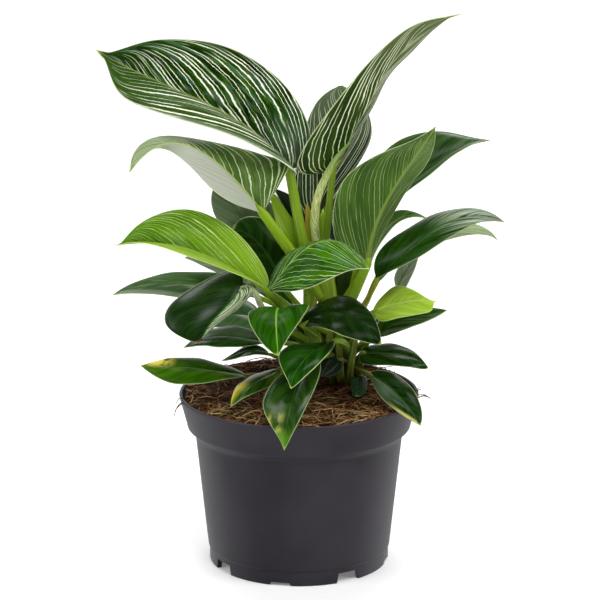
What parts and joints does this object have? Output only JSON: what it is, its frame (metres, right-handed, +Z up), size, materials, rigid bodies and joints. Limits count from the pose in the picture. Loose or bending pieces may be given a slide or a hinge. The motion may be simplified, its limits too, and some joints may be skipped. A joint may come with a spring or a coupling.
{
  "type": "potted foliage plant",
  "caption": "Bushy philodendron birkin with striped pointed leaves on arching stalks, standing in soil in a plain round nursery pot with a flared rim and notched foot.",
  "frame": {"origin": "on the pot's axis, at the height of the foot that it stands on, below the middle of the whole plant", "axes": "+Z up; -Y is the front; +X is to the right seen from the front"},
  "size_m": [0.1987, 0.1507, 0.2796],
  "materials": {
    "pot_plastic": "matt charcoal moulding",
    "potting_soil": "loose dark brown compost with tan fibres",
    "stalk": "smooth yellow-green, satin",
    "furled_leaf": "pale green, satin",
    "leaf_striped": "deep green with fine cream stripes, satin",
    "leaf_dark": "dark green, glossy",
    "leaf_bright": "fresh green with pale veins, glossy",
    "leaf_lime": "lime green with pale veins, satin",
    "leaf_pale": "pale grey-green underside, matt"
  },
  "bodies": {
    "root": {"pot": "pot_plastic", "soil": "potting_soil", "stem_and_leaf_stalks": "stalk", "furled_leaf": "furled_leaf", "leaf_01": "leaf_striped", "leaf_02": "leaf_striped", "leaf_03": "leaf_striped", "leaf_04": "leaf_striped", "leaf_05": "leaf_striped", "leaf_06": "leaf_dark", "leaf_07": "leaf_dark", "leaf_08": "leaf_pale", "leaf_09": "leaf_bright", "leaf_10": "leaf_pale", "leaf_11": "leaf_lime", "leaf_12": "leaf_dark", "leaf_13": "leaf_dark", "leaf_14": "leaf_bright", "leaf_15": "leaf_bright", "leaf_16": "leaf_bright", "leaf_17": "leaf_dark", "leaf_18": "leaf_dark", "leaf_19": "leaf_dark", "leaf_20": "leaf_dark", "leaf_21": "leaf_dark", "leaf_22": "leaf_dark", "leaf_23": "leaf_dark", "leaf_24": "leaf_dark", "leaf_25": "leaf_dark", "leaf_26": "leaf_dark", "leaf_27": "leaf_lime", "leaf_28": "leaf_dark", "leaf_29": "leaf_pale", "leaf_30": "leaf_dark", "leaf_31": "leaf_pale", "leaf_32": "leaf_dark", "leaf_33": "leaf_dark", "leaf_34": "leaf_striped", "leaf_35": "leaf_striped", "leaf_36": "leaf_bright", "leaf_37": "leaf_dark", "leaf_38": "leaf_dark", "leaf_39": "leaf_dark", "leaf_40": "leaf_dark", "leaf_41": "leaf_striped"}
  },
  "joints": []
}
